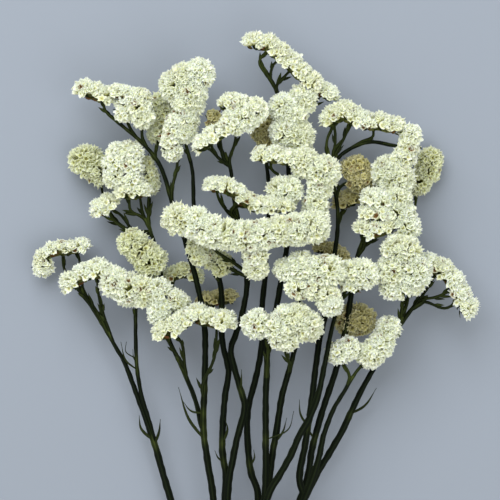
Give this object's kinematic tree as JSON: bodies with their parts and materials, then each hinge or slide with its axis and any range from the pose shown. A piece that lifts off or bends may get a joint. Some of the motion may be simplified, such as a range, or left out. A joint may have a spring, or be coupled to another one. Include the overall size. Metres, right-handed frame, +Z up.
{
  "type": "dried statice bunch",
  "caption": "Bunch of dried white statice: winged green stems held by a band, branching into one-sided combs of papery calyces; lies on a surface.",
  "frame": {"origin": "middle of the bunch's length and width, on the surface it lies on", "axes": "+Y along the bunch from the cut ends to the flowers, +X across it, +Z up"},
  "size_m": [0.3534, 0.5802, 0.0997],
  "materials": {
    "calyx_white": "dry papery calyx, white",
    "calyx_cream": "dry papery calyx, greenish cream",
    "calyx_olive": "dry papery calyx, aged tan",
    "stem_green": "dried winged stem, dull dark green",
    "band": "matt natural rubber"
  },
  "bodies": {
    "root": {"stem_1": "stem_green", "stem_2": "stem_green", "stem_3": "stem_green", "stem_4": "stem_green", "stem_5": "stem_green", "stem_6": "stem_green", "stem_7": "stem_green", "stem_8": "stem_green", "stem_9": "stem_green", "stem_10": "stem_green", "stem_11": "stem_green", "stem_12": "stem_green", "head_h": "calyx_white", "head_q2": "calyx_white", "head_q1": "calyx_white", "head_r": "calyx_white", "head_q4": "calyx_white", "head_g3": "calyx_white", "head_k": "calyx_white", "head_g4": "calyx_white", "head_g5": "calyx_white", "head_e": "calyx_white", "head_d5": "calyx_white", "head_o": "calyx_white", "head_n": "calyx_white", "head_a4": "calyx_white", "head_f": "calyx_white", "head_g1": "calyx_white", "head_l": "calyx_white", "head_f3": "calyx_white", "head_m1": "calyx_white", "head_a2": "calyx_white", "head_a1": "calyx_white", "head_d2": "calyx_white", "head_b2": "calyx_white", "head_p": "calyx_white", "head_t2": "calyx_white", "head_t3": "calyx_white", "head_h4": "calyx_cream", "head_bk4": "calyx_cream", "head_e4": "calyx_olive", "head_b4": "calyx_white", "head_c": "calyx_cream", "head_a3": "calyx_cream", "head_b2c": "calyx_cream", "head_bk5": "calyx_olive", "head_bk3": "calyx_olive", "head_bk8": "calyx_olive", "head_bk7": "calyx_olive", "head_t1": "calyx_olive", "head_d4": "calyx_cream", "head_d1": "calyx_white", "head_bk1": "calyx_olive", "head_b1": "calyx_cream", "head_m2": "calyx_cream", "tie_band": "band"}
  },
  "joints": []
}
